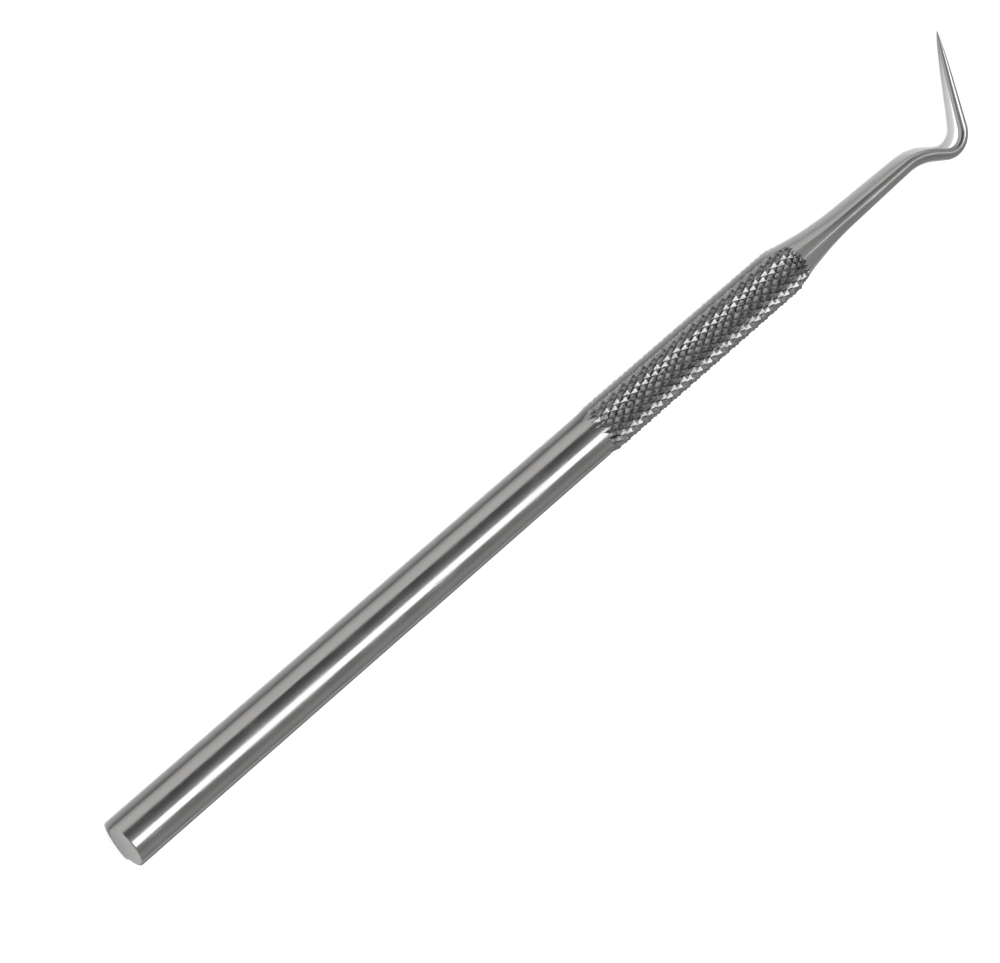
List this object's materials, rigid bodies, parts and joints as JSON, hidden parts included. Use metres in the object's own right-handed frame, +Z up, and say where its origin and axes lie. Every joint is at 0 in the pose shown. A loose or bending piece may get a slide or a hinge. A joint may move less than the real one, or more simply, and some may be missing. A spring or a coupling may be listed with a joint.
{
  "type": "dental explorer",
  "caption": "Single-ended dental explorer: a round steel bar with a diamond-knurled grip, a waisted cone and a bent needle point for probing tooth surfaces.",
  "frame": {"origin": "middle of the bounding box's bottom face, on the surface that the explorer lies on", "axes": "+X along the handle from the flat rear end to the working end, +Z up from the surface, +Y the side that the needle points to"},
  "size_m": [0.1667, 0.0153, 0.0066],
  "materials": {
    "handle_steel": "fine turned and polished stainless steel, satin, with a bright cut knurl",
    "needle_steel": "polished hardened stainless steel"
  },
  "bodies": {
    "root": {"handle": "handle_steel", "working_end": "needle_steel"}
  },
  "joints": []
}
